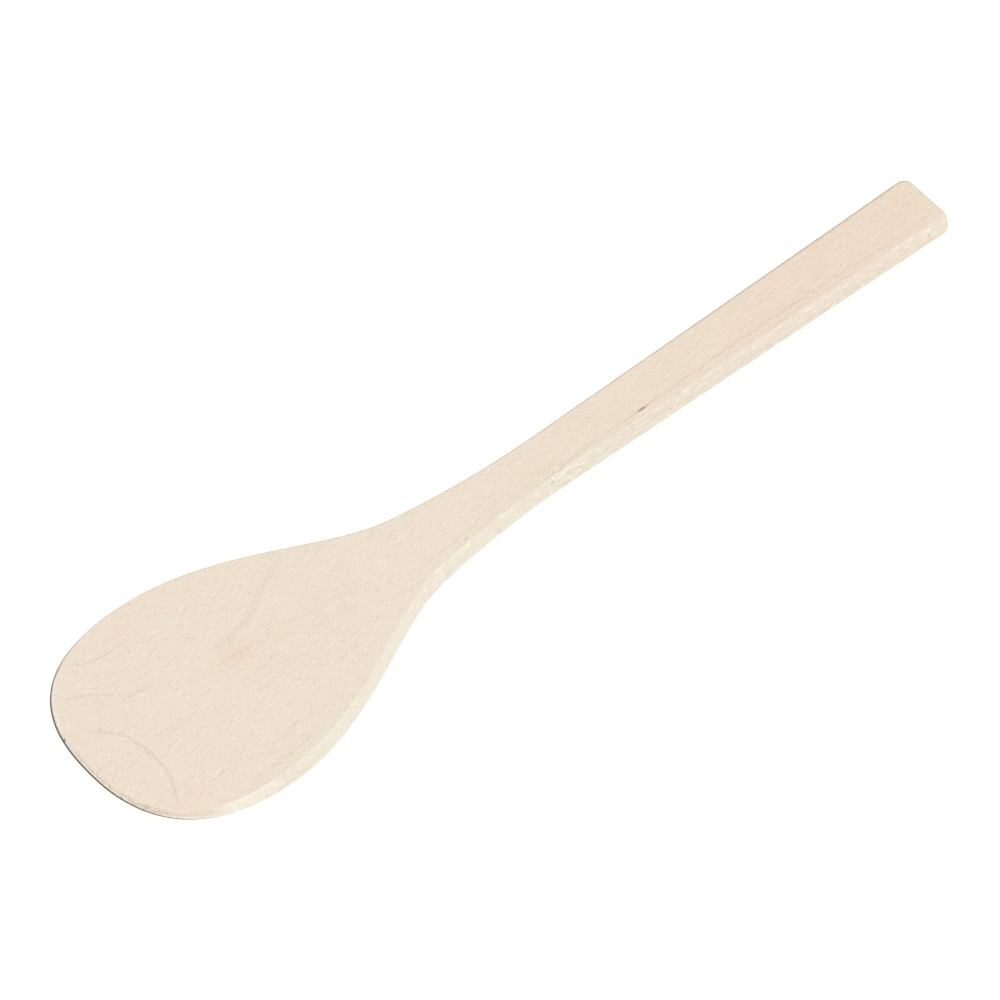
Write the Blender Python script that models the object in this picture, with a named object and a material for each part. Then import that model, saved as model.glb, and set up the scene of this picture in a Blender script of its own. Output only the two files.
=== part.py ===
"""A wooden spatula, sawn in one piece from a planed beech board.

A wide egg-shaped blade narrows through a hollow neck into a slim handle, which widens again towards
its end. The upper face is flat from tip to end. The underside is flat as well, and sweeps up below the
blade, so that the tip is thin enough to slide under food. Every edge is rounded: lightly round the
blade, and more and more along the handle, where a hand holds it.

X runs from the blade's tip to the handle's end, Y across and Z up. The origin lies under the middle of
the length, in the plane on which the underside rests. Lengths are in metres.
"""

import math

import bmesh
import bpy
from mathutils import Vector
from mathutils.geometry import interpolate_bezier

# Places along the spatula, from the blade's tip
LENGTH = 0.360
WIDEST_AT = 0.046
NECK_AT = 0.139
HANDLE_AT = 0.200

# Widths across it at those places
BLADE_WIDTH = 0.100
NECK_WIDTH = 0.0302
HANDLE_WIDTH = 0.0208
END_WIDTH = 0.0263
NECK_ANGLE = math.radians(10.3)

# The board, and the underside's sweep up to the tip
THICKNESS = 0.008
TIP_THICKNESS = 0.0014
TAPER_LENGTH = 0.075

# Roundings: of the blade's and the handle's edges, and of the end's corners in plan
BLADE_ROUNDING = 0.0009
HANDLE_ROUNDING = 0.0022
END_CORNER = 0.0042

# How far each curve of the outline keeps its first direction, as a share of the stretch it spans
TIP_FULLNESS = 0.333
FRONT_FULLNESS = 0.952
BACK_FULLNESS = 0.43
NECK_ENTRY = 0.28
NECK_EXIT = 0.45
HANDLE_ENTRY = 0.22

# Points on each stretch of the outline
FRONT_POINTS = 26
BACK_POINTS = 24
NECK_POINTS = 14
HANDLE_POINTS = 10
CORNER_POINTS = 7
ROUNDING_STEPS = 4

# A rounding takes at most this share of the wall that it is on
ROUNDING_LIMIT = 0.45

WOOD_COLOUR = (0.847, 0.731, 0.610, 1.0)
WOOD_ROUGHNESS = 0.6

ALONG = Vector((1.0, 0.0, 0.0))
ACROSS = Vector((0.0, 1.0, 0.0))


def clear_scene():
    """Removes the objects that the file opened with."""
    for item in list(bpy.data.objects):
        bpy.data.objects.remove(item)


def smooth_step(value):
    """0 up to value 0, 1 from value 1, and an S-curve between them."""
    value = min(max(value, 0.0), 1.0)
    return value * value * (3.0 - 2.0 * value)


def thickness_at(x):
    """The wood's thickness at a distance from the tip: thin there, and full where the sweep ends."""
    share = min(max(x / TAPER_LENGTH, 0.0), 1.0)
    return TIP_THICKNESS + (THICKNESS - TIP_THICKNESS) * share * (2.0 - share)


def underside_at(x):
    """The height of the underside above the plane that the spatula rests on."""
    return THICKNESS - thickness_at(x)


def rounding_at(x):
    """The radius of the edges: it grows from the neck to the handle's end."""
    grown = smooth_step((x - NECK_AT) / (LENGTH - NECK_AT))
    wanted = BLADE_ROUNDING + (HANDLE_ROUNDING - BLADE_ROUNDING) * grown
    return min(wanted, ROUNDING_LIMIT * thickness_at(x))


def fillet(start, corner, end, radius, count):
    """Points on the arc that rounds a corner between two straight edges."""
    arriving = (corner - start).normalized()
    leaving = (end - corner).normalized()
    turn = arriving.angle(leaving)
    radius = min(radius, (end - corner).length)
    set_back = radius * math.tan(turn / 2.0)
    inward = Vector((arriving.y, -arriving.x, 0.0))
    centre = corner - arriving * set_back + inward * radius
    points = []
    for step in range(count):
        angle = turn * step / (count - 1)
        points.append(centre - inward * radius * math.cos(angle) + arriving * radius * math.sin(angle))
    return points


def half_outline():
    """The outline of the +Y half in plan, from the middle of the tip to the middle of the end."""
    tip = Vector((0.0, 0.0, 0.0))
    widest = Vector((WIDEST_AT, BLADE_WIDTH / 2.0, 0.0))
    neck = Vector((NECK_AT, NECK_WIDTH / 2.0, 0.0))
    handle = Vector((HANDLE_AT, HANDLE_WIDTH / 2.0, 0.0))
    corner = Vector((LENGTH, END_WIDTH / 2.0, 0.0))
    end = Vector((LENGTH, 0.0, 0.0))
    down_the_neck = Vector((math.cos(NECK_ANGLE), -math.sin(NECK_ANGLE), 0.0))
    down_the_handle = (corner - handle).normalized()
    back = NECK_AT - WIDEST_AT
    hollow = HANDLE_AT - NECK_AT

    points = interpolate_bezier(
        tip,
        tip + ACROSS * TIP_FULLNESS * widest.y,
        widest - ALONG * FRONT_FULLNESS * WIDEST_AT,
        widest,
        FRONT_POINTS,
    )
    points += interpolate_bezier(
        widest,
        widest + ALONG * BACK_FULLNESS * back,
        neck - down_the_neck * NECK_ENTRY * back,
        neck,
        BACK_POINTS,
    )[1:]
    points += interpolate_bezier(
        neck,
        neck + down_the_neck * NECK_EXIT * hollow,
        handle - down_the_handle * HANDLE_ENTRY * hollow,
        handle,
        NECK_POINTS,
    )[1:]
    arc = fillet(handle, corner, end, max(END_CORNER, HANDLE_ROUNDING), CORNER_POINTS)
    side = arc[0] - handle
    points += [handle + side * step / HANDLE_POINTS for step in range(1, HANDLE_POINTS)]
    return points + arc + [end]


def outward_normals(points):
    """The direction that faces out of the wood at each point of the half outline, in plan."""
    mirrored = Vector((1.0, -1.0, 1.0))
    row = [points[1] * mirrored] + points + [points[-2] * mirrored]
    normals = []
    for before, after in zip(row, row[2:]):
        way = (after - before).normalized()
        normals.append(Vector((-way.y, way.x, 0.0)))
    return normals


def edge_profile(point, normal):
    """The rounded edge at a point of the outline, from the upper face down to the underside."""
    radius = rounding_at(point.x)
    upper = []
    lower = []
    for step in range(ROUNDING_STEPS + 1):
        angle = math.pi / 2.0 * step / ROUNDING_STEPS
        inset = radius * (1.0 - math.cos(angle))
        drop = radius * (1.0 - math.sin(angle))
        place = point - normal * inset
        upper.append(Vector((place.x, place.y, THICKNESS - drop)))
        lower.append(Vector((place.x, place.y, underside_at(place.x) + drop)))
    return upper[::-1] + lower


def add_faces_between(bm, first, second):
    """Joins two neighbouring profiles with a strip of quads."""
    for index in range(len(first) - 1):
        bm.faces.new((first[index], second[index], second[index + 1], first[index + 1]))


def half_board():
    """A mesh of the +Y half of the spatula, open along the plane of symmetry."""
    outline = half_outline()
    bm = bmesh.new()
    profiles = []
    for point, normal in zip(outline, outward_normals(outline)):
        profiles.append([bm.verts.new(place) for place in edge_profile(point, normal)])
    for first, second in zip(profiles, profiles[1:]):
        add_faces_between(bm, first, second)

    # The upper face is one flat sheet
    bm.faces.new([profile[0] for profile in reversed(profiles)])

    # Under the blade the sheet is curved, so it is laid in strips that run across the wood
    rim = [profile[-1] for profile in profiles]
    swept = 1 + sum(vert.co.x < TAPER_LENGTH for vert in rim)
    middle = [bm.verts.new((vert.co.x, 0.0, vert.co.z)) for vert in rim[1:swept]]
    bm.faces.new((rim[0], rim[1], middle[0]))
    add_faces_between(bm, middle, rim[1:swept])

    # From there to the end the underside is flat
    bm.faces.new(rim[swept - 1:] + [middle[-1]])
    bmesh.ops.translate(bm, verts=bm.verts, vec=-ALONG * LENGTH / 2.0)
    mesh = bpy.data.meshes.new("spatula")
    bm.to_mesh(mesh)
    bm.free()
    return mesh


def sanded_beech():
    """Bare pale beech, sanded and left without oil."""
    material = bpy.data.materials.new("sanded_beech")
    material.use_nodes = True
    shader = material.node_tree.nodes["Principled BSDF"]
    shader.inputs["Base Color"].default_value = WOOD_COLOUR
    shader.inputs["Roughness"].default_value = WOOD_ROUGHNESS
    shader.inputs["Metallic"].default_value = 0.0
    return material


def make_spatula():
    """The spatula: half a board, mirrored across the plane that runs along its middle."""
    mesh = half_board()
    mesh.materials.append(sanded_beech())
    spatula = bpy.data.objects.new("spatula", mesh)
    bpy.context.scene.collection.objects.link(spatula)
    mirror = spatula.modifiers.new("other_half", "MIRROR")
    mirror.use_axis = (False, True, False)
    mirror.merge_threshold = 0.00001
    mesh.shade_smooth()
    mesh.set_sharp_from_angle(angle=math.radians(30.0))
    return spatula


clear_scene()
make_spatula()
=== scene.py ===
# %% [markdown]
# # A wooden spatula in sanded beech
#
# The real object is one flat piece of pale wood: a broad egg-shaped blade, a neck, and a slim handle.
# Everything that makes it look right is in two things, so this lesson has two long parts: an outline
# whose edges are eased by sanding, and the figure of the wood, which runs through the whole piece.
# Lengths are in metres. X runs along the spatula, Y across it and Z up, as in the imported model.

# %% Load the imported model
import math

import bmesh
import bpy
from mathutils import Matrix, Vector


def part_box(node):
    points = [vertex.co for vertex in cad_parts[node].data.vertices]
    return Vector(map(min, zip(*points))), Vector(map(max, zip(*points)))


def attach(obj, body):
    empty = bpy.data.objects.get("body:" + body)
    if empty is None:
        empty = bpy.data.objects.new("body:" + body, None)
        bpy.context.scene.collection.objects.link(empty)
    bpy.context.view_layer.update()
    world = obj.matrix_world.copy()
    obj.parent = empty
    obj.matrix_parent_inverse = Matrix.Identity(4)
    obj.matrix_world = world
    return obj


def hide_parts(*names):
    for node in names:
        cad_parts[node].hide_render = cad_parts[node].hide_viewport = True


MILLIMETRES = 1000.0

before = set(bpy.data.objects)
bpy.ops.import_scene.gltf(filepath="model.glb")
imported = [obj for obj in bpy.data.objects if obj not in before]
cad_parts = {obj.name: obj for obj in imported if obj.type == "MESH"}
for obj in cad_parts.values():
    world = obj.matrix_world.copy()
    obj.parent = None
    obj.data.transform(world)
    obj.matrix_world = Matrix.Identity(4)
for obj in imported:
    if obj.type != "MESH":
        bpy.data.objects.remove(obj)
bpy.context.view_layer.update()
low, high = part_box("spatula")
print("the board in millimetres", [round(side * MILLIMETRES, 1) for side in high - low])

# %% [markdown]
# ## The camera
#
# A camera can be placed by eye, or worked out from a photograph: the board's known proportions fix how
# far it is turned, how steeply the camera looks down and how much the far end shrinks. Here that gives a
# long lens from over three metres, which is why the handle hardly gets smaller with distance. The same
# facts are kept as named values, so that each can be checked against a ruler on the picture.

# %% The camera at the photograph's viewing angle
PICTURE_SIDE = 1000
SENSOR_WIDTH = 36.0
PIXELS_PER_METRE = 2933.6
DISTANCE = 3.273
TURNED = math.radians(23.742)
LOOKING_DOWN = math.radians(49.261)
PICTURE_TILT = math.radians(15.833)
FACE_CENTRE_PIXEL = (513.0, 476.9)

turn = Matrix.Rotation(-TURNED, 3, "Z") @ Matrix.Rotation(math.pi / 2 - LOOKING_DOWN, 3, "X")
turn = turn @ Matrix.Rotation(-PICTURE_TILT, 3, "Z")
face_centre = Vector((0.0, 0.0, high.z))
seen_at = Vector((
    (FACE_CENTRE_PIXEL[0] - PICTURE_SIDE / 2) / PIXELS_PER_METRE,
    (PICTURE_SIDE / 2 - FACE_CENTRE_PIXEL[1]) / PIXELS_PER_METRE,
    -DISTANCE,
))
lens_data = bpy.data.cameras.new("camera")
lens_data.sensor_width = SENSOR_WIDTH
lens_data.lens = SENSOR_WIDTH * PIXELS_PER_METRE * DISTANCE / PICTURE_SIDE
camera = bpy.data.objects.new("camera", lens_data)
camera.matrix_world = Matrix.Translation(face_centre - turn @ seen_at) @ turn.to_4x4()
bpy.context.scene.collection.objects.link(camera)
bpy.context.scene.camera = camera
print("lens", round(lens_data.lens, 1), "mm, camera at", [round(c, 2) for c in camera.location])

# %% [markdown]
# ## Two helpers
#
# Colours are easiest to compare as the hex values that a picture editor shows, but a shader counts light,
# so one function turns them into linear values. The other one adds a node: its settings, then a value
# or a link for each input that is in use, in the order in which the node shows them. An input that is
# easier to find by its name is given by name.

# %% Colours and nodes
def linear(colour):
    """The linear RGBA value of an sRGB hex colour, by the standard's own curve."""
    channels = [int(colour[place:place + 2], 16) / 255.0 for place in (0, 2, 4)]
    return [c / 12.92 if c <= 0.04045 else ((c + 0.055) / 1.055) ** 2.4 for c in channels] + [1.0]


def add_node(tree, kind, settings=None, *values, **named):
    """Adds a node and sets or links its inputs, by order or by name."""
    node = tree.nodes.new(kind)
    for name, setting in (settings or {}).items():
        setattr(node, name, setting)
    used = [socket for socket in node.inputs if not socket.is_unavailable]
    pairs = list(zip(used, values))
    for name, value in named.items():
        wanted = name.replace("_", " ")
        pairs.append((next(socket for socket in used if socket.name == wanted), value))
    for socket, value in pairs:
        if isinstance(value, bpy.types.Node):
            value = next(out for out in value.outputs if not out.is_unavailable)
        if isinstance(value, bpy.types.NodeSocket):
            tree.links.new(value, socket)
        elif value is not None:
            socket.default_value = value
    return node


print("beech is about", [round(c, 2) for c in linear("EDDECD")[:3]], "in linear light")

# %% [markdown]
# ## The wood
#
# Beech is pale, even and close-grained, and fine-sanded without oil it stays dry and matt. Look closely
# and it has four things: a broad drift of tone, thin brown growth rings, the short flecks of its rays, and
# fine fibres along the grain. A picture of wood could be wrapped round the board, but then the edges would
# show the face's pattern stretched. Here each of the four is a pattern in solid space, in millimetres from
# the blade's tip, so it runs through the board and comes out on the edges as it would from a saw.

# %% Places in the wood
BOARD_LENGTH = (high.x - low.x) * MILLIMETRES
BOARD_THICKNESS = (high.z - low.z) * MILLIMETRES
# The blade is thinned from below, over this length and to this thickness at the tip
TAPER_LENGTH = 0.075
TIP_THICKNESS = 0.0014

wood = bpy.data.materials.new("beech_fine_sanded")
wood.use_nodes = True
beech = wood.node_tree
beech.nodes.clear()
where = add_node(beech, "ShaderNodeTexCoord")
place = add_node(
    beech, "ShaderNodeMapping", None, where.outputs["Object"],
    (BOARD_LENGTH / 2, 0.0, 0.0), None, (MILLIMETRES,) * 3,
)
print("the grain's space runs from 0 to", round(BOARD_LENGTH), "mm along X")

# %% [markdown]
# ### Grain that is never quite straight
#
# Fibres wander round each other, so every line in wood is a little wavy. One noise pushes all the places
# aside before any pattern reads them. It is stretched along X, because fibres bend slowly along the grain.

# %% Wandering fibres
WANDER_LENGTH = 7.0
WANDER_WIDTH = 2.5
WANDER_AMOUNT = 0.9
NOISE_MIDDLE = (0.5, 0.5, 0.5)


def grain_noise(source, length, width, height, detail):
    """Nodes for a noise of this length along the grain, and this width and height across it."""
    scales = (1.0 / length, 1.0 / width, 1.0 / height)
    noise_place = add_node(beech, "ShaderNodeMapping", None, source, None, None, scales)
    return add_node(beech, "ShaderNodeTexNoise", None, noise_place, 1.0, detail)


def wavy(source, length, width, amount):
    """Nodes that push each place aside by a noise of this length and width."""
    noise = grain_noise(source, length, width, width, 1.0)
    push = add_node(
        beech, "ShaderNodeVectorMath", {"operation": "SUBTRACT"}, noise.outputs["Color"], NOISE_MIDDLE
    )
    return add_node(
        beech, "ShaderNodeVectorMath", {"operation": "MULTIPLY_ADD"}, push, (amount,) * 3, source
    )


grain = wavy(place, WANDER_LENGTH, WANDER_WIDTH, WANDER_AMOUNT)
print("fibres wander by up to", WANDER_AMOUNT / 2, "mm")

# %% [markdown]
# ### Growth rings
#
# The saw meets this board's rings almost flat, so on the face they come out as a few thin brown lines: a
# bow and a wave at the tip, and a long line near one side of the handle. Rings can be made as nested
# cylinders, but these lines are too free for that. Each one is drawn as a curve instead, through a
# few points in millimetres, and it leans as it goes down, so the underside shows it in another place.
# A second, finer push makes the lines ragged, because each fibre ends its dark wood at its own place.
# The last line isn't a ring: along it the sanding drum, which eased the tip, left the face. Beside it
# lies a light line of painted light.

# %% Lines that the rings leave on the face
# Each line: which way it runs, its points, half its width in millimetres, and how strong it is
RING_LINES = {
    "bow at the tip": (
        "y", ((-37, 12.3), (-33, 15.3), (-28, 17.3), (-23, 19.0), (-17, 19.8), (-10, 19.6),
              (-4, 18.9), (1, 17.8), (5, 15.6), (10, 11.6), (13, 8.4), (17.5, 3.4)),
        0.90, 0.95,
    ),
    "wave near the tip": (
        "x", ((9, 29.3), (14, 27.6), (19, 24.8), (23, 20.6), (26, 16.4), (29, 14.7), (33, 14.9),
              (36, 16.8)),
        0.90, 0.9,
    ),
    "end of the wave": ("x", ((33, 14.9), (37, 17.6), (41, 22.4), (44.5, 25.0), (51, 26.0)), 0.90, 0.35),
    "far shoulder": ("x", ((20, 41.4), (23, 39.2), (27, 36.8), (32, 35.7), (42, 35.4)), 0.90, 0.9),
    "faint inner bow": ("x", ((24, -4.5), (30, -7.0), (36, -7.5), (43, -6.8)), 0.80, 0.4),
    "short hook": ("y", ((-35, 25.8), (-30, 27.6), (-24, 32.5)), 0.75, 0.35),
    "near side": ("x", ((45, -43.8), (51, -44.4), (58, -43.7), (68, -42.8)), 0.90, 0.85),
    "near side, inner": ("x", ((51, -35.6), (55, -36.1), (60, -35.4), (66, -34.6)), 0.75, 0.5),
    "below the stain": (
        "x", ((70, -0.4), (79, -1.3), (87, -4.2), (97, -6.4), (105, -7.3), (114, -7.4)),
        0.90, 0.40,
    ),
    "neck": ("x", ((132, -9.4), (145, -9.2), (152, -8.2), (161, -7.8)), 0.75, 0.5),
    "handle": (
        "x", ((168, -9.6), (184, -9.0), (196, -7.8), (214, -6.9), (232, -7.1), (262, -6.3), (284, -6.3),
              (306, -6.9), (322, -7.6), (338, -8.3), (354, -8.2)),
        0.80, 0.85,
    ),
    "beside the handle's line": ("x", ((205, -10.2), (240, -9.6), (290, -9.9), (345, -10.8)), 1.6, 0.3),
    "slanting shade": (
        "x", ((60, 9.5), (66, 11.4), (74, 12.9), (80, 15.4), (87, 20.8), (95, 25.2), (103, 28.6)),
        3.0, 0.42,
    ),
    "where the drum left the face": (
        "y", ((-37, 12.0), (-35, 10.2), (-32, 8.1), (-28, 5.95), (-24, 4.3), (-20, 3.1), (-17, 2.4),
              (-13, 1.7), (-8, 1.2), (0, 0.95), (8, 1.2), (13, 1.7)),
        0.42, 2.3,
    ),
}
# Painted light: a light line on the face beside that line, just inside the tip's edge
PAINTED_LIGHT_BESIDE_TIP = (
    "y", ((15, 1.7), (17, 2.0), (20, 2.7), (24, 3.9), (28, 5.6), (32, 7.7), (35, 9.8), (37, 11.5),
          (39, 13.5), (42, 17.4)),
    0.75, 1.0,
)
RING_LEAN = (0.4, 1.1)
LINE_END_FADE = 0.16
HALF_WAY = 0.5
RAGGED_LENGTH = 1.6
RAGGED_WIDTH = 1.1
RAGGED_AMOUNT = 1.6

ragged = wavy(grain, RAGGED_LENGTH, RAGGED_WIDTH, RAGGED_AMOUNT)
parts = add_node(beech, "ShaderNodeSeparateXYZ", None, ragged)
depth = add_node(
    beech, "ShaderNodeMath", {"operation": "SUBTRACT"}, BOARD_THICKNESS, parts.outputs["Z"]
)
ways = {}
for way, lean in zip("xy", RING_LEAN):
    ways[way] = add_node(
        beech, "ShaderNodeMath", {"operation": "MULTIPLY_ADD"}, depth, lean, parts.outputs[way.upper()]
    )
print(len(RING_LINES), "lines are to be drawn")

# %% [markdown]
# A Float Curve node holds each line: it takes how far along the line a point is and gives how far across
# the line passes there. What is left is a distance, and a distance makes a soft-edged stripe.

# %% Draw the lines
def ring_line(way, points, half_width, strength):
    """Nodes that have the line's strength on a drawn line, and 0 beside it."""
    first, last = points[0][0], points[-1][0]
    lowest = min(point[1] for point in points)
    spread = max(point[1] for point in points) - lowest
    across = ways["y" if way == "x" else "x"]
    share = add_node(beech, "ShaderNodeMapRange", {"clamp": False}, ways[way], first, last)
    passing = add_node(beech, "ShaderNodeFloatCurve", None, Value=share)
    curve = passing.mapping.curves[0]
    ready = [((x - first) / (last - first), (y - lowest) / spread) for x, y in points]
    curve.points[0].location = ready[0]
    curve.points[1].location = ready[-1]
    for point in ready[1:-1]:
        curve.points.new(*point)
    passing.mapping.update()
    side = add_node(
        beech, "ShaderNodeMapRange", {"clamp": False}, across, lowest, lowest + spread
    )
    apart = add_node(beech, "ShaderNodeMath", {"operation": "SUBTRACT"}, side, passing)
    apart = add_node(beech, "ShaderNodeMath", {"operation": "ABSOLUTE"}, apart)
    stripe = add_node(
        beech, "ShaderNodeMapRange", {"interpolation_type": "SMOOTHSTEP"},
        apart, half_width / spread, 0.0, 0.0, strength,
    )
    middle = add_node(beech, "ShaderNodeMath", {"operation": "SUBTRACT"}, share, HALF_WAY)
    middle = add_node(beech, "ShaderNodeMath", {"operation": "ABSOLUTE"}, middle)
    ends = add_node(
        beech, "ShaderNodeMapRange", {"interpolation_type": "SMOOTHSTEP"},
        middle, HALF_WAY, HALF_WAY - LINE_END_FADE, 0.0, 1.0,
    )
    return add_node(beech, "ShaderNodeMath", {"operation": "MULTIPLY"}, stripe, ends)


rings = None
for line in RING_LINES.values():
    drawn = ring_line(*line)
    if rings is None:
        rings = drawn
    else:
        rings = add_node(beech, "ShaderNodeMath", {"operation": "MAXIMUM"}, rings, drawn)
painted_light_beside_tip = ring_line(*PAINTED_LIGHT_BESIDE_TIP)
print("the ring figure has", len(beech.nodes), "nodes so far")

# %% [markdown]
# ### The other rings
#
# Between the drawn lines there are more rings, so faint that the face shows them only as a hint. They lie
# almost flat in the board: on its face they make slow loops, and along its edges they come out as long
# fine streaks. A height above the underside, bent by a slow noise, is all they need.

# %% Faint rings through the board
RING_SPACING = 1.9
RING_BEND = 2.6
LOOP_LENGTH = 60.0
LOOP_WIDTH = 15.0
LOOP_HEIGHT = 100.0
DARK_WOOD_FROM = 0.72

loops = grain_noise(grain, LOOP_LENGTH, LOOP_WIDTH, LOOP_HEIGHT, 1.0)
bent = add_node(
    beech, "ShaderNodeMath", {"operation": "MULTIPLY_ADD"}, loops, RING_BEND * RING_SPACING,
    parts.outputs["Z"],
)
count = add_node(beech, "ShaderNodeMath", {"operation": "DIVIDE"}, bent, RING_SPACING)
part_way = add_node(beech, "ShaderNodeMath", {"operation": "FRACT"}, count)
faint_rings = add_node(
    beech, "ShaderNodeMapRange", {"interpolation_type": "SMOOTHSTEP"},
    part_way, DARK_WOOD_FROM, 1.0, 0.0, 1.0,
)
print("a faint ring every", RING_SPACING, "mm of depth")

# %% [markdown]
# ### Rays
#
# A ray is a ribbon of soft cells that runs from the bark towards the heart. On this face the saw cuts
# the ribbons across, so they are specks and short dashes, about half a millimetre long, some darker and
# some lighter than the wood. A Voronoi texture gives the crisp ones: each of its cells is the space that
# one ray has, with one dash in its middle, and the cell's own colour says how dark or light that
# dash is. The same light dashes, moved aside and drawn dark, give each light ray a dark margin. A noise
# gives the softer, longer pattern of half-cut rays between them. Rays crowd together in some places, so
# a slow noise lets more of them through there.

# %% Flecks
RAY_LENGTH = 0.68
RAY_WIDTH = 0.65
DASH_EDGE = 0.55
DASH_CORE = 0.10
DARK_MARGIN = 0.85
HALF_CUT_LENGTH = 3.4
HALF_CUT_WIDTH = 0.75
CROWD_SIZE = 4.0
CROWD_EDGES = (0.40, 0.60)
BETWEEN_CROWDS = 0.30
# Each pair: the value of a cell or of the noise at which a fleck begins to show, and at which it is full
DARK_CHANCES = (0.40, 0.0)
LIGHT_CHANCES = (0.50, 0.82)
HALF_CUT_DARK = (0.46, 0.22)
HALF_CUT_LIGHT = (0.54, 0.78)

crowds = grain_noise(grain, CROWD_SIZE, CROWD_SIZE, CROWD_SIZE, 1.0)
crowding = add_node(beech, "ShaderNodeMapRange", None, crowds, *CROWD_EDGES, BETWEEN_CROWDS, 1.0)


def dashes(aside, chance_from, chance_to):
    """Nodes for the dashes whose chance lies in a range, moved aside across the grain."""
    ray_place = add_node(
        beech, "ShaderNodeMapping", None, grain, (0.0, aside / RAY_WIDTH, 0.0), None,
        (1.0 / RAY_LENGTH, 1.0 / RAY_WIDTH, 1.0 / RAY_WIDTH),
    )
    cells = add_node(beech, "ShaderNodeTexVoronoi", None, ray_place, 1.0)
    dash = add_node(
        beech, "ShaderNodeMapRange", {"interpolation_type": "SMOOTHSTEP"},
        cells.outputs["Distance"], DASH_EDGE, DASH_CORE, 0.0, 1.0,
    )
    chance = add_node(beech, "ShaderNodeSeparateColor", None, cells.outputs["Color"])
    chosen = add_node(beech, "ShaderNodeMapRange", None, chance, chance_from, chance_to, 0.0, 1.0)
    chosen = add_node(beech, "ShaderNodeMath", {"operation": "MULTIPLY"}, chosen, crowding)
    return add_node(beech, "ShaderNodeMath", {"operation": "MULTIPLY"}, dash, chosen)


dark_flecks = dashes(0.0, *DARK_CHANCES)
light_flecks = dashes(0.0, *LIGHT_CHANCES)
margins = dashes(DARK_MARGIN, *LIGHT_CHANCES)
half_cut = grain_noise(grain, HALF_CUT_LENGTH, HALF_CUT_WIDTH, HALF_CUT_WIDTH, 0.0)
half_cut_flecks = []
for limits in (HALF_CUT_DARK, HALF_CUT_LIGHT):
    fleck = add_node(
        beech, "ShaderNodeMapRange", {"interpolation_type": "SMOOTHSTEP"}, half_cut, *limits, 0.0, 1.0
    )
    fleck = add_node(beech, "ShaderNodeMath", {"operation": "MULTIPLY"}, fleck, crowding)
    half_cut_flecks.append(fleck)
half_cut_dark, half_cut_light = half_cut_flecks
print("each ray has", RAY_LENGTH, "by", RAY_WIDTH, "mm of wood to itself")

# %% [markdown]
# ### Fibres and drift of tone
#
# Fibres are far too fine to show at this distance. They are drawn as coarse as they need to be to give
# the face its lengthwise look. The drift of tone is as wide as a finger.

# %% Fibres and drift
FIBRE_LENGTH = 16.0
FIBRE_WIDTH = 0.5
DRIFT_LENGTH = 34.0
DRIFT_WIDTH = 13.0

fibres = grain_noise(grain, FIBRE_LENGTH, FIBRE_WIDTH, FIBRE_WIDTH, 2.0)
drift = grain_noise(grain, DRIFT_LENGTH, DRIFT_WIDTH, DRIFT_WIDTH, 2.0)
print("fibres are drawn", FIBRE_WIDTH, "mm wide")

# %% [markdown]
# ### Marks of this one board
#
# Every board has a few marks of its own, and they are what the eye remembers. This one has a dark mineral
# streak in the handle, a small fleck in the neck and another near the end, a nick in the tip's edge and a
# warm stain on the blade. Each is a stretched ball in the wood's space: the distance from its middle is
# measured in its own half lengths.

# %% Streak, flecks, nick and stain
# Each mark: its middle as X, Y and depth below the face, its half lengths, and how far out it stays full
MARKS = {
    "streak": ((230.2, -7.15, 0.0), (2.3, 0.72, 0.8), 0.3),
    "streak's halo": ((230.4, -7.15, 0.0), (6.5, 0.9, 1.5), 0.0),
    "bright strip": ((230.6, -8.8, 0.0), (6.0, 0.8, 1.5), 0.1),
    "neck fleck": ((152.2, -10.6, 0.0), (1.5, 0.6, 0.6), 0.2),
    "end fleck": ((324.0, 3.3, 0.0), (1.2, 0.5, 0.6), 0.2),
    "nick": ((1.2, 15.2, 0.7), (0.9, 1.1, 1.6), 0.2),
    "stain": ((65.5, 4.2, 0.0), (12.0, 9.0, 5.0), 0.0),
}
FAINTEST_STAIN = 0.45


def ball(middle, half_lengths, full_to):
    """Nodes that are 1 inside a stretched ball and fall to 0 at its skin."""
    x, y, deep = middle
    scales = [1.0 / half for half in half_lengths]
    moved = [-m * s for m, s in zip((x, y, BOARD_THICKNESS - deep), scales)]
    inside = add_node(beech, "ShaderNodeMapping", None, grain, moved, None, scales)
    away = add_node(beech, "ShaderNodeVectorMath", {"operation": "LENGTH"}, inside)
    return add_node(
        beech, "ShaderNodeMapRange", {"interpolation_type": "SMOOTHSTEP"},
        away.outputs["Value"], 1.0, full_to, 0.0, 1.0,
    )


marks = {name: ball(*mark) for name, mark in MARKS.items()}
patchy = add_node(beech, "ShaderNodeMapRange", None, crowds, *CROWD_EDGES, FAINTEST_STAIN, 1.0)
marks["stain"] = add_node(
    beech, "ShaderNodeMath", {"operation": "MULTIPLY"}, marks["stain"], patchy
)
print("marks:", ", ".join(marks))

# %% [markdown]
# ### From patterns to a colour
#
# The colours are those of dry beech in soft daylight. Each pattern mixes a little of its own colour into
# what lies below it, from the widest to the finest, so a fleck still shows on a ring line.
# The face shows the board flat-sawn and the edges show it quarter-sawn, so the surface's own direction
# chooses between the two tones. The edges' tone is partly that of quarter-sawn beech and partly painted
# shade, darker and greyer than the face, and the far side's upper rounding is painted darker still as
# painted shade. Round the tip a band of painted light lies on the wall just above the underside, and the
# end grain above it is darker, partly by its own duller tone and partly by painted shade. The handle gets
# a little warmer towards its end, where hands have held it.

# %% Mix the colours
PLAIN_WOOD = "EFE1CF"
PINKER_WOOD = "F0DDCB"
YELLOWER_WOOD = "ECE0CC"
HANDLE_TINT = "FDF8F5"
# Partly the quarter-sawn edges' own tone, partly painted shade: darker and greyer than the face, against
# the light that the table throws up at the edges
EDGE_TONE_AND_SHADE = "DBD7CB"
# Painted light on the low wall round the tip
TIP_PAINTED_LIGHT = "FFF6EA"
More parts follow.
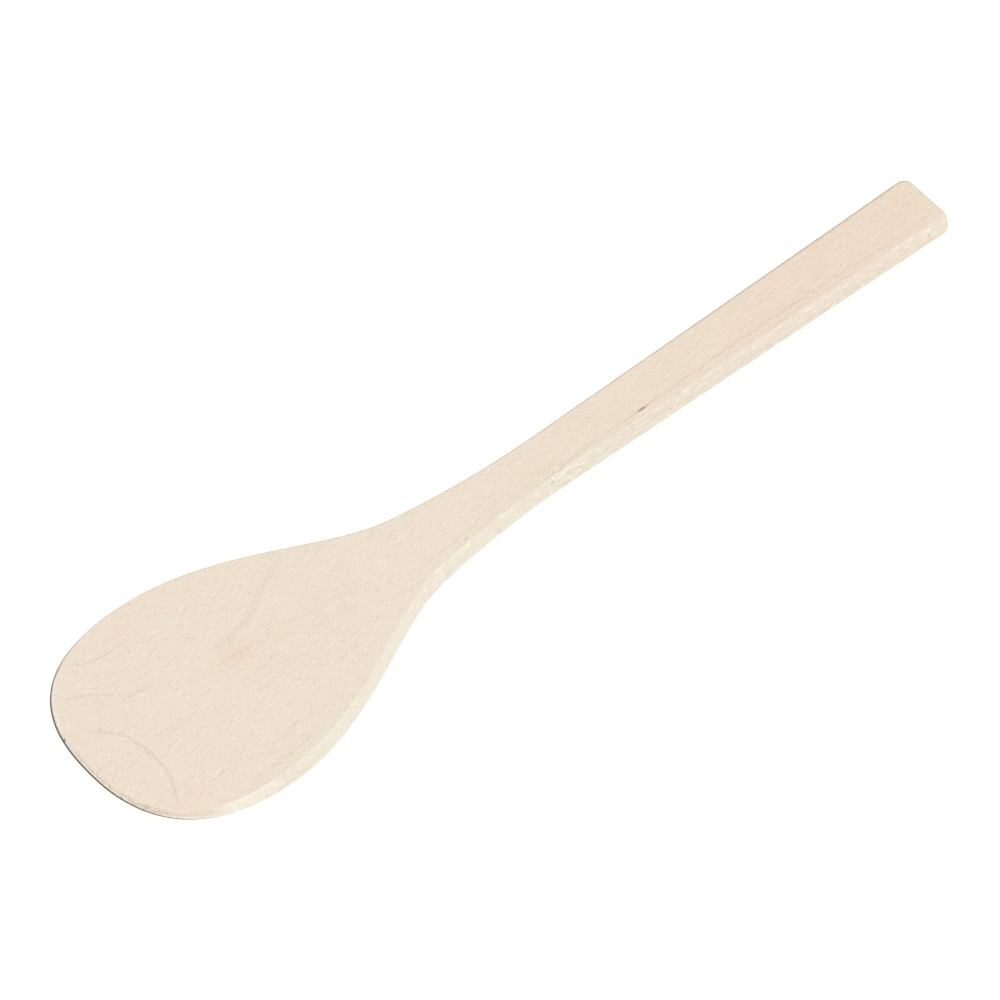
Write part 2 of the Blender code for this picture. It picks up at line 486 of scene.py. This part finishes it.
# Painted shade on the far rounding; on the wall round the tip, partly the end grain's duller tone and
# partly painted shade
DULL_GRAIN_AND_SHADE = "AC9F8B"
STAIN_COLOUR = "E3CBAE"
RING_COLOUR = "C9B39F"
FAINT_RING_COLOUR = "DCC8B2"
FIBRE_COLOUR = "DDC8B3"
DARK_RAY = "C3A78F"
LIGHT_RAY_AND_PAINTED_LIGHT = "FFFBF2"
STREAK_COLOUR = "7A5E48"
NICK_COLOUR = "4E3A2C"

TONE_CHANGES_FROM = 150.0
PINKER_DRIFT = (0.50, 0.72)
YELLOWER_DRIFT = (0.50, 0.28)
RING_BREAKS = (0.38, 0.58)
PALEST_RING = 0.55

# How much of the surface's direction points up, or to the far side, where each part begins and is full
EDGE_TURNS = (0.999, 0.86)
EASING_TURNS = (0.50, 0.75)
FAR_SIDE_TURNS = (0.04, 0.30)

# On the edges the rays are cut along their length: fewer light specks, more dark and more long soft ones
EDGE_GROWS = (60.0, 200.0)
LIGHT_EDGE_SHARES = (0.45, 0.8)
DARK_EDGE_SHARES = (1.2, 1.9)
HALF_CUT_EDGE_SHARES = (1.3, 2.0)

# The painted light round the tip, in millimetres: how far above the underside its band on the wall fades,
# where it widens to the whole wall, and where it brightens towards the tip
LIGHT_BAND_HEIGHTS = (2.2, 1.2)
LIGHT_BAND_ENDS = (19.0, 28.0)
LIGHT_BAND_BRIGHTENS = (50.0, 10.0)


def swept(tree, x, length):
    """Nodes that are 1 at the tip and fall to 0 at this length, as the underside's height does."""
    left = add_node(tree, "ShaderNodeMapRange", None, x, 0.0, length, 1.0, 0.0)
    return add_node(tree, "ShaderNodeMath", {"operation": "MULTIPLY"}, left, left)


def on_edges(pattern, shares):
    """Nodes that show a pattern more or less on the edges, from the blade to the handle."""
    there = add_node(beech, "ShaderNodeMapRange", None, parts.outputs["X"], *EDGE_GROWS, *shares)
    share = add_node(beech, "ShaderNodeMix", {"data_type": "FLOAT"}, on_edge, 1.0, there)
    return add_node(beech, "ShaderNodeMath", {"operation": "MULTIPLY"}, pattern, share)


pinker = add_node(beech, "ShaderNodeMapRange", None, drift, *PINKER_DRIFT, 0.0, 1.0)
yellower = add_node(beech, "ShaderNodeMapRange", None, drift, *YELLOWER_DRIFT, 0.0, 1.0)
along_handle = add_node(
    beech, "ShaderNodeMapRange", None, parts.outputs["X"], TONE_CHANGES_FROM, BOARD_LENGTH, 0.0, 1.0
)
facing = add_node(beech, "ShaderNodeSeparateXYZ", None, where.outputs["Normal"])
upright = add_node(beech, "ShaderNodeMath", {"operation": "ABSOLUTE"}, facing.outputs["Z"])
on_edge = add_node(
    beech, "ShaderNodeMapRange", {"interpolation_type": "SMOOTHSTEP"}, upright, *EDGE_TURNS, 0.0, 1.0
)
to_tip = add_node(beech, "ShaderNodeMapRange", None, parts.outputs["X"], *LIGHT_BAND_BRIGHTENS, 0.0, 1.0)
raised = swept(beech, parts.outputs["X"], TAPER_LENGTH * MILLIMETRES)
tip_rise = BOARD_THICKNESS - TIP_THICKNESS * MILLIMETRES
above_underside = add_node(
    beech, "ShaderNodeMath", {"operation": "MULTIPLY_ADD"}, raised, -tip_rise, parts.outputs["Z"]
)
# Painted light: a band on the wall just above the underside round the tip; further back the whole wall
# takes the edges' tone
light_band = add_node(beech, "ShaderNodeMapRange", None, above_underside, *LIGHT_BAND_HEIGHTS, 0.0, 1.0)
past_light_band = add_node(beech, "ShaderNodeMapRange", None, parts.outputs["X"], *LIGHT_BAND_ENDS, 0.0, 1.0)
light_band = add_node(beech, "ShaderNodeMath", {"operation": "MAXIMUM"}, light_band, past_light_band)
light_wall = add_node(beech, "ShaderNodeMath", {"operation": "MULTIPLY"}, on_edge, light_band)
# The wall round the tip above the band of painted light is darkened: partly the end grain's own duller
# tone, partly painted shade
tip_wall_grain_and_shade = add_node(beech, "ShaderNodeMath", {"operation": "SUBTRACT"}, on_edge, light_wall)
tip_painted_light = add_node(beech, "ShaderNodeMath", {"operation": "MULTIPLY"}, light_wall, to_tip)
light_flecks = on_edges(light_flecks, LIGHT_EDGE_SHARES)
dark_flecks = on_edges(dark_flecks, DARK_EDGE_SHARES)
half_cut_dark = on_edges(half_cut_dark, HALF_CUT_EDGE_SHARES)
half_cut_light = on_edges(half_cut_light, HALF_CUT_EDGE_SHARES)
# Painted shade: the upper rounding on the far side, which faces away from the light, is darkened
far_side = add_node(beech, "ShaderNodeMapRange", None, facing.outputs["Y"], *FAR_SIDE_TURNS, 0.0, 1.0)
above_wall = add_node(beech, "ShaderNodeMapRange", None, upright, *EASING_TURNS, 0.0, 1.0)
far_easing_painted_shade = add_node(beech, "ShaderNodeMath", {"operation": "MULTIPLY"}, far_side, above_wall)
ring_breaks = add_node(beech, "ShaderNodeMapRange", None, half_cut, *RING_BREAKS, PALEST_RING, 1.0)
rings = add_node(beech, "ShaderNodeMath", {"operation": "MULTIPLY"}, rings, ring_breaks)

# Each layer: where it is, its colour, and how much of it shows there
layers = (
    (pinker, PINKER_WOOD, 0.8),
    (yellower, YELLOWER_WOOD, 0.8),
    (faint_rings, FAINT_RING_COLOUR, 0.13),
    # The edges' tone: partly quarter-sawn wood, partly painted shade
    (light_wall, EDGE_TONE_AND_SHADE, 0.8),
    # Painted light: a light band on the low wall round the tip
    (tip_painted_light, TIP_PAINTED_LIGHT, 0.75),
    # Painted shade on the far side's upper rounding
    (far_easing_painted_shade, DULL_GRAIN_AND_SHADE, 0.33),
    # Darker wall round the tip: partly end grain, partly painted shade
    (tip_wall_grain_and_shade, DULL_GRAIN_AND_SHADE, 0.22),
    (marks["stain"], STAIN_COLOUR, 0.40),
    (fibres, FIBRE_COLOUR, 0.10),
    (half_cut_dark, DARK_RAY, 0.13),
    (half_cut_light, LIGHT_RAY_AND_PAINTED_LIGHT, 0.21),
    (rings, RING_COLOUR, 0.42),
    (dark_flecks, DARK_RAY, 0.60),
    (margins, DARK_RAY, 0.38),
    (light_flecks, LIGHT_RAY_AND_PAINTED_LIGHT, 0.80),
    # Painted light: the light line on the face just inside the tip's edge
    (painted_light_beside_tip, LIGHT_RAY_AND_PAINTED_LIGHT, 0.65),
    (marks["bright strip"], LIGHT_RAY_AND_PAINTED_LIGHT, 0.35),
    (marks["streak's halo"], RING_COLOUR, 0.35),
    (marks["neck fleck"], STREAK_COLOUR, 0.30),
    (marks["end fleck"], STREAK_COLOUR, 0.25),
    (marks["nick"], NICK_COLOUR, 0.85),
    (marks["streak"], STREAK_COLOUR, 0.62),
)
colour = linear(PLAIN_WOOD)
for mask, hue, share in layers:
    amount = add_node(beech, "ShaderNodeMath", {"operation": "MULTIPLY"}, mask, share)
    colour = add_node(beech, "ShaderNodeMix", {"data_type": "RGBA"}, amount, colour, linear(hue))
tinting = {"data_type": "RGBA", "blend_type": "MULTIPLY"}
colour = add_node(beech, "ShaderNodeMix", tinting, along_handle, colour, linear(HANDLE_TINT))
print(len(layers), "layers of colour")

# %% [markdown]
# ### The sanded surface
#
# Fine sanding leaves fibre ends standing by a hundredth of a millimetre. That is too little to model, so
# a bump gives it, from the same flecks and fibres as the colour. It breaks up the last of the shine,
# and the roughness drifts with the flecks, because the ray cells polish a little more than the rest.

# %% Finish the material
NAP_HEIGHT = 0.00003
NAP_STRENGTH = 0.3
FLECKS_IN_NAP = 0.5
CELLULOSE_IOR = 1.53
POLISHED = (0.3, 0.7)
ROUGHNESSES = (0.68, 0.56)

nap = add_node(beech, "ShaderNodeMath", {"operation": "MULTIPLY_ADD"}, half_cut, FLECKS_IN_NAP, fibres)
bump = add_node(
    beech, "ShaderNodeBump", None, Strength=NAP_STRENGTH, Distance=NAP_HEIGHT, Height=nap
)
polish = add_node(beech, "ShaderNodeMapRange", None, half_cut, *POLISHED, *ROUGHNESSES)
shader = add_node(
    beech, "ShaderNodeBsdfPrincipled", None,
    Base_Color=colour, Roughness=polish, IOR=CELLULOSE_IOR, Normal=bump,
)
add_node(beech, "ShaderNodeOutputMaterial", None, shader)
print("material", wood.name, "has", len(beech.nodes), "nodes")

# %% [markdown]
# ## The form
#
# On the real spatula a band saw cuts the outline from a planed board, a belt thins the blade below, and a
# sanding drum eases the edges: lightly round the blade, more along the handle. One rule says all of
# that: walk round the outline, and at each step go over the section from the middle of the face,
# over the edge and back along the underside. A subdivided box could be pushed into shape by hand, but it
# would take many loops to hold the edge so even. Geometry Nodes bend a plain grid by the rule: one
# side of the grid is the walk, the other is the section.

# %% Sizes of the board
WIDEST = Vector((0.046, 0.050, 0.0))
NECK = Vector((0.139, 0.0151, 0.0))
HANDLE = Vector((0.200, 0.0104, 0.0))
CORNER = Vector((high.x - low.x, 0.01315, 0.0))
NECK_ANGLE = math.radians(10.3)
END_CORNER = 0.0042

TIP_FULLNESS = 0.333
FRONT_FULLNESS = 0.952
BACK_FULLNESS = 0.43
NECK_ENTRY = 0.28
NECK_EXIT = 0.45
HANDLE_ENTRY = 0.22
ARC_FULLNESS = 0.5523

ALONG = Vector((1.0, 0.0, 0.0))
ACROSS = Vector((0.0, 1.0, 0.0))
down_neck = Vector((math.cos(NECK_ANGLE), -math.sin(NECK_ANGLE), 0.0))
down_handle = (CORNER - HANDLE).normalized()
back = NECK.x - WIDEST.x
hollow = HANDLE.x - NECK.x
set_back = END_CORNER * math.tan(down_handle.angle(-ACROSS) / 2)
print("the end's corners start", round(set_back * MILLIMETRES, 2), "mm from their points")

# %% [markdown]
# The tree has a named input for each size, so the same tree could make a longer or a thinner spatula.
# The outline's points go in as vectors, and so do the pulls that say how far each curve
# keeps its first direction.

# %% The tree's named inputs
form = bpy.data.node_groups.new("spatula_form", "GeometryNodeTree")
form.is_modifier = True
SIZES = {
    "Tip": Vector(),
    "Tip Pull": ACROSS * TIP_FULLNESS * WIDEST.y,
    "Front Pull": -ALONG * FRONT_FULLNESS * WIDEST.x,
    "Widest": WIDEST,
    "Back Pull": ALONG * BACK_FULLNESS * back,
    "Neck Arrival": -down_neck * NECK_ENTRY * back,
    "Neck": NECK,
    "Neck Leaving": down_neck * NECK_EXIT * hollow,
    "Handle Arrival": -down_handle * HANDLE_ENTRY * hollow,
    "Handle": HANDLE,
    "Corner Start": CORNER - down_handle * set_back,
    "Corner Pull": down_handle * set_back * ARC_FULLNESS,
    "Corner Arrival": ACROSS * set_back * ARC_FULLNESS,
    "Corner End": CORNER - ACROSS * set_back,
    "End": ALONG * CORNER.x,
    "Straight": Vector(),
    "Thickness": high.z - low.z,
    "Tip Thickness": TIP_THICKNESS,
    "Taper Length": TAPER_LENGTH,
    "Blade Rounding": 0.0009,
    "Handle Rounding": 0.0022,
    "Rounding Limit": 0.45,
    "Unevenness": 0.00008,
    "Curve Steps": 64,
    "Rows": 560,
    "Face Columns": 20,
    "Rounding Columns": 6,
    "Wall Columns": 5,
    "Wood": wood,
}
KINDS = {Vector: "Vector", float: "Float", int: "Int", bpy.types.Material: "Material"}

form.interface.new_socket("Board", in_out="OUTPUT", socket_type="NodeSocketGeometry")
sockets = {}
for name, value in SIZES.items():
    kind = next(kind for sort, kind in KINDS.items() if isinstance(value, sort))
    sockets[name] = form.interface.new_socket(name, in_out="INPUT", socket_type="NodeSocket" + kind)
given = add_node(form, "NodeGroupInput").outputs
print("the form has", len(sockets), "named inputs")

# %% [markdown]
# ### The walk round the outline
#
# Six stretches make half of the outline: tip to widest place, to the neck, to the handle, along the
# handle's straight side, round the corner and along the end. A Bezier segment does for all of them, also
# for the straight ones, where its handles have no length.

# %% Half of the outline
STRETCHES = (
    ("Tip", "Tip Pull", "Front Pull", "Widest"),
    ("Widest", "Back Pull", "Neck Arrival", "Neck"),
    ("Neck", "Neck Leaving", "Handle Arrival", "Handle"),
    ("Handle", "Straight", "Straight", "Corner Start"),
    ("Corner Start", "Corner Pull", "Corner Arrival", "Corner End"),
    ("Corner End", "Straight", "Straight", "End"),
)
outline = add_node(form, "GeometryNodeJoinGeometry")
for names in reversed(STRETCHES):
    stretch = add_node(
        form, "GeometryNodeCurvePrimitiveBezierSegment", {"mode": "OFFSET"},
        given["Curve Steps"], *[given[name] for name in names],
    )
    form.links.new(stretch.outputs[0], outline.inputs[0])
print(len(STRETCHES), "stretches of outline")

# %% [markdown]
# ### The grid and what each column is for
#
# Across the grid, the first columns lie on the upper face, from the middle to the edge. Then come the
# upper rounding, the wall, the lower rounding and the underside back to the middle. Each of the five
# counts from 0 to 1 over its own columns and rests before and after them.

# %% The grid
# The grid's middle lies at 0, so this step moves its corner there
HALF_GRID = (0.5, 0.5, 0.0)

face = given["Face Columns"]
eased = given["Rounding Columns"]
wall = given["Wall Columns"]
stops = [0.0, face]
for stretch_columns in (eased, wall, eased, face):
    stops.append(
        add_node(form, "ShaderNodeMath", {"operation": "ADD"}, stops[-1], stretch_columns)
    )
across_count = add_node(form, "ShaderNodeMath", {"operation": "ADD"}, stops[-1], 1.0)
along_count = add_node(form, "ShaderNodeMath", {"operation": "ADD"}, given["Rows"], 1.0)
grid = add_node(form, "GeometryNodeMeshGrid", None, 1.0, 1.0, across_count, along_count)
spot = add_node(
    form, "ShaderNodeVectorMath", {"operation": "ADD"},
    add_node(form, "GeometryNodeInputPosition"), HALF_GRID,
)
spot = add_node(form, "ShaderNodeSeparateXYZ", None, spot)
column = add_node(form, "ShaderNodeMath", {"operation": "MULTIPLY"}, spot.outputs["X"], stops[-1])
shares = []
for begin, stop in zip(stops, stops[1:]):
    shares.append(add_node(form, "ShaderNodeMapRange", None, column, begin, stop))
outwards, over_top, down_wall, under, inwards = shares
print("five stretches across the section")

# %% [markdown]
# ### The outline at each step
#
# Sampling the outline gives the place and the direction of each step. Turned by a quarter, the direction
# faces out of the wood, and the roundings are set in along it. The underside sweeps up towards the tip,
# and how far it has risen decides how thick the wood is and how large a rounding it can take.

# %% Place, direction, thickness and rounding at each step
def sweep_up(x):
    """Nodes for the height of the underside at a distance from the tip."""
    thinned = add_node(
        form, "ShaderNodeMath", {"operation": "SUBTRACT"}, given["Thickness"], given["Tip Thickness"]
    )
    raised = swept(form, x, given["Taper Length"])
    return add_node(form, "ShaderNodeMath", {"operation": "MULTIPLY"}, raised, thinned)


step = add_node(
    form, "GeometryNodeSampleCurve", {"mode": "FACTOR", "use_all_curves": True},
    outline, None, spot.outputs["Y"],
)
outward = add_node(
    form, "ShaderNodeVectorMath", {"operation": "CROSS_PRODUCT"}, (0.0, 0.0, 1.0), step.outputs["Tangent"]
)
step_x = add_node(form, "ShaderNodeSeparateXYZ", None, step.outputs["Position"]).outputs["X"]
neck_x = add_node(form, "ShaderNodeSeparateXYZ", None, given["Neck"]).outputs["X"]
end_x = add_node(form, "ShaderNodeSeparateXYZ", None, given["End"]).outputs["X"]
thick = add_node(
    form, "ShaderNodeMath", {"operation": "SUBTRACT"}, given["Thickness"], sweep_up(step_x)
)
wanted = add_node(
    form, "ShaderNodeMapRange", {"interpolation_type": "SMOOTHSTEP"},
    step_x, neck_x, end_x, given["Blade Rounding"], given["Handle Rounding"],
)
most = add_node(
    form, "ShaderNodeMath", {"operation": "MULTIPLY"}, thick, given["Rounding Limit"]
)
radius = add_node(form, "ShaderNodeMath", {"operation": "MINIMUM"}, wanted, most)
print("the edge's radius follows the thickness")

# %% [markdown]
# ### Over the edge
#
# Each rounding is a quarter of a circle, so a sine and a cosine carry the point over it: inwards
# from the wall by one, and down from the face or up from the underside by the other.

# %% The two roundings
QUARTER_TURN = math.pi / 2

top_angle = add_node(form, "ShaderNodeMath", {"operation": "MULTIPLY"}, over_top, QUARTER_TURN)
low_angle = add_node(form, "ShaderNodeMath", {"operation": "MULTIPLY"}, under, QUARTER_TURN)
missing = {}
for name, operation, angle in (
    ("top inset", "SINE", top_angle),
    ("top drop", "COSINE", top_angle),
    ("low inset", "COSINE", low_angle),
    ("low rise", "SINE", low_angle),
):
    wave = add_node(form, "ShaderNodeMath", {"operation": operation}, angle)
    rest = add_node(form, "ShaderNodeMath", {"operation": "SUBTRACT"}, 1.0, wave)
    missing[name] = add_node(form, "ShaderNodeMath", {"operation": "MULTIPLY"}, rest, radius)
inset = add_node(
    form, "ShaderNodeMath", {"operation": "ADD"}, missing["top inset"], missing["low inset"]
)
back_in = add_node(form, "ShaderNodeMath", {"operation": "MULTIPLY"}, inset, -1.0)
rim = add_node(
    form, "ShaderNodeVectorMath", {"operation": "MULTIPLY_ADD"},
    outward, back_in, step.outputs["Position"],
)
rim = add_node(form, "ShaderNodeSeparateXYZ", None, rim)
print("the roundings are quarter circles")

# %% [markdown]
# ### From the edge to the middle
#
# The face's columns lie on slanting lines from the edge to the middle. At the tip they slant towards the
# handle, and at the end towards the blade. Straight across, they would all fall on one line at the
# two ends, where the outline itself runs across the wood. They close up towards the edge, so the
# shading stays flat until just before the rounding.

# %% Slanting columns
slant = add_node(form, "ShaderNodeMapRange", None, step_x, neck_x, end_x, 1.0, -1.0)
middle_x = add_node(
    form, "ShaderNodeMath", {"operation": "MULTIPLY_ADD"}, rim.outputs["Y"], slant, rim.outputs["X"]
)
short = add_node(form, "ShaderNodeMath", {"operation": "SUBTRACT"}, 1.0, outwards)
short = add_node(form, "ShaderNodeMath", {"operation": "MULTIPLY"}, short, short)
past = add_node(form, "ShaderNodeMath", {"operation": "MULTIPLY"}, inwards, inwards)
from_rim = add_node(form, "ShaderNodeMath", {"operation": "ADD"}, short, past)
place_x = add_node(
    form, "ShaderNodeMix", {"data_type": "FLOAT"}, from_rim, rim.outputs["X"], middle_x
)
place_y = add_node(
    form, "ShaderNodeMix", {"data_type": "FLOAT"}, from_rim, rim.outputs["Y"], 0.0
)
print("columns slant by 45 degrees at the tip and at the end")

# %% Heights
upper_z = add_node(
    form, "ShaderNodeMath", {"operation": "SUBTRACT"}, given["Thickness"], missing["top drop"]
)
lower_z = add_node(
    form, "ShaderNodeMath", {"operation": "ADD"}, sweep_up(place_x), missing["low rise"]
)
place_z = add_node(form, "ShaderNodeMix", {"data_type": "FLOAT"}, down_wall, upper_z, lower_z)
bent_place = add_node(form, "ShaderNodeCombineXYZ", None, place_x, place_y, place_z)
half = add_node(form, "GeometryNodeSetPosition", None, grid, Position=bent_place)
print("half of the board is bent into shape")

# %% [markdown]
# ### Two halves, and the hand that sanded them
#
# The second half is the first one mirrored. Mirroring turns a shape inside out, and the grid's faces look
# into the wood to begin with, so the copy comes out right and the first half's faces are turned over.
# Where the halves meet, their points are merged. No sanded board is dead flat, so at last each point
# sinks into the wood by less than a tenth of a millimetre, by a slow noise as wide as a sanding block.

# %% Mirror, merge and ease
BLOCK_WIDTH = 0.045
MERGE_WITHIN = 0.00002

other_half = add_node(form, "GeometryNodeTransform", None, half, Scale=(1.0, -1.0, 1.0))
half = add_node(form, "GeometryNodeFlipFaces", None, half)
whole = add_node(form, "GeometryNodeJoinGeometry", None, half)
form.links.new(other_half.outputs[0], whole.inputs[0])
whole = add_node(form, "GeometryNodeMergeByDistance", None, whole, Distance=MERGE_WITHIN)
block = add_node(form, "ShaderNodeTexNoise", None, None, 1.0 / BLOCK_WIDTH, 1.0)
sunk = add_node(form, "ShaderNodeMath", {"operation": "MULTIPLY"}, block, given["Unevenness"])
sunk = add_node(form, "ShaderNodeMath", {"operation": "MULTIPLY"}, sunk, -1.0)
inward = add_node(
    form, "ShaderNodeVectorMath", {"operation": "SCALE"},
    add_node(form, "GeometryNodeInputNormal"), Scale=sunk,
)
whole = add_node(form, "GeometryNodeSetPosition", None, whole, Offset=inward)
half_way = add_node(form, "ShaderNodeVectorMath", {"operation": "SCALE"}, given["End"], Scale=-0.5)
whole = add_node(form, "GeometryNodeTransform", None, whole, Translation=half_way)
whole = add_node(form, "GeometryNodeSetShadeSmooth", None, whole)
whole = add_node(form, "GeometryNodeRealizeInstances", None, whole)
whole = add_node(form, "GeometryNodeSetMaterial", None, whole, Material=given["Wood"])
add_node(form, "NodeGroupOutput", None, whole)
print("the form's tree has", len(form.nodes), "nodes")

# %% [markdown]
# ### From the tree to a plain mesh
#
# The tree works on an empty mesh. Its inputs are set before it is evaluated for the first time, the
# result is copied to a mesh of its own, and the modifier goes. The last look is at the mesh itself: its
# faces are turned outwards, and its open edges, its volume and its box are printed.

# %% Make the board
CUBIC_CENTIMETRES = 1e6
# The lowest and the highest of the eight corners of an object's box
LOW_CORNER = 0
HIGH_CORNER = 6

board = bpy.data.objects.new("sanded_board", bpy.data.meshes.new("sanded_board"))
bpy.context.scene.collection.objects.link(board)
modifier = board.modifiers.new("form", "NODES")
modifier.node_group = form
for name, value in SIZES.items():
    modifier[sockets[name].identifier] = value
evaluated = board.evaluated_get(bpy.context.evaluated_depsgraph_get())
finished = bpy.data.meshes.new_from_object(evaluated)
board.modifiers.remove(modifier)
board.data = finished

bm = bmesh.new()
bm.from_mesh(finished)
bmesh.ops.recalc_face_normals(bm, faces=bm.faces)
open_edges = sum(not edge.is_manifold for edge in bm.edges)
volume = bm.calc_volume()
bm.to_mesh(finished)
bm.free()
print("faces", len(finished.polygons), "open edges", open_edges)
print("volume", round(volume * CUBIC_CENTIMETRES, 2), "cm3")
for corner in (LOW_CORNER, HIGH_CORNER):
    print("corner of its box", [round(c * MILLIMETRES, 2) for c in board.bound_box[corner]])

# %% [markdown]
# ## The setting
#
# A pale tabletop and soft light keep the eye on the wood. The table is matt, and so strongly lit that it
# comes out as pure white. It throws light back up at the edges, so they look a little lighter than the
# face.

# %% Floor
FLOOR_SIZE = 40.0
TABLE_COLOUR = "8B8A87"

table_top = bpy.data.materials.new("matt_white_table")
table_top.use_nodes = True
matt = table_top.node_tree
matt.nodes.clear()
table_shader = add_node(matt, "ShaderNodeBsdfDiffuse", None, linear(TABLE_COLOUR))
add_node(matt, "ShaderNodeOutputMaterial", None, table_shader)

half_floor = FLOOR_SIZE / 2
floor_mesh = bpy.data.meshes.new("floor")
floor_mesh.from_pydata(
    [(x * half_floor, y * half_floor, 0.0) for x, y in ((-1, -1), (1, -1), (1, 1), (-1, 1))],
    [],
    [(0, 1, 2, 3)],
)
floor_mesh.materials.append(table_top)
floor = bpy.data.objects.new("floor", floor_mesh)
bpy.context.scene.collection.objects.link(floor)
print("floor", FLOOR_SIZE, "m wide")

# %% [markdown]
# ### Light
#
# Half of the light on the wood is an even pale sky, which keeps its edges as light as its face. A large
# soft box, high at the near right side, gives the other half and a little form. The table has a lamp of
# its own, linked to it alone. It stands close beside the camera, so nearly all of the spatula's shadow
# hides behind the spatula. Only under the raised tip, on the side away from the lamp, is a thin dark
# line of it left.

# %% Sky, soft box and table lamp
WHITE = (1.0, 1.0, 1.0, 1.0)
SKY_STRENGTH = 0.52
BOX_POWER = 398.0
BOX_WIDTH = 4.2
LIGHT_DISTANCE = 8.0
LAMP_STRENGTH = 14.4
LAMP_ANGLE = math.radians(1.2)
# Where each one stands: how far round from -Y towards +X, and how high
BOX_STANDS = (math.radians(18.0), math.radians(58.0))
LAMP_STANDS = (math.radians(-14.1), math.radians(50.7))

world = bpy.data.worlds.new("studio")
world.use_nodes = True
world.node_tree.nodes.clear()
sky = add_node(world.node_tree, "ShaderNodeBackground", None, WHITE, SKY_STRENGTH)
add_node(world.node_tree, "ShaderNodeOutputWorld", None, sky)
bpy.context.scene.world = world


def add_lamp(name, kind, settings, around, height):
    """Adds a lamp that looks at the spatula from one direction."""
    data = bpy.data.lights.new(name, kind)
    for setting, value in settings.items():
        setattr(data, setting, value)
    lamp = bpy.data.objects.new(name, data)
    towards = Vector((
        math.sin(around) * math.cos(height), -math.cos(around) * math.cos(height), math.sin(height)
    ))
    lamp.location = face_centre + towards * LIGHT_DISTANCE
    lamp.rotation_mode = "QUATERNION"
    lamp.rotation_quaternion = towards.to_track_quat("Z", "Y")
    bpy.context.scene.collection.objects.link(lamp)
    return lamp


box_settings = {"shape": "DISK", "size": BOX_WIDTH, "energy": BOX_POWER}
lamp_settings = {"energy": LAMP_STRENGTH, "angle": LAMP_ANGLE}
soft_box = add_lamp("soft_box", "AREA", box_settings, *BOX_STANDS)
table_lamp = add_lamp("table_lamp", "SUN", lamp_settings, *LAMP_STANDS)
lit_by_lamp = bpy.data.collections.new("lit_by_table_lamp")
lit_by_lamp.objects.link(floor)
table_lamp.light_linking.receiver_collection = lit_by_lamp
bpy.context.scene.view_settings.view_transform = "Standard"
print("soft box at", [round(c, 2) for c in soft_box.location])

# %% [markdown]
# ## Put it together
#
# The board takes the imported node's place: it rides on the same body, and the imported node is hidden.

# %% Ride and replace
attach(board, "root")
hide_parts("spatula")
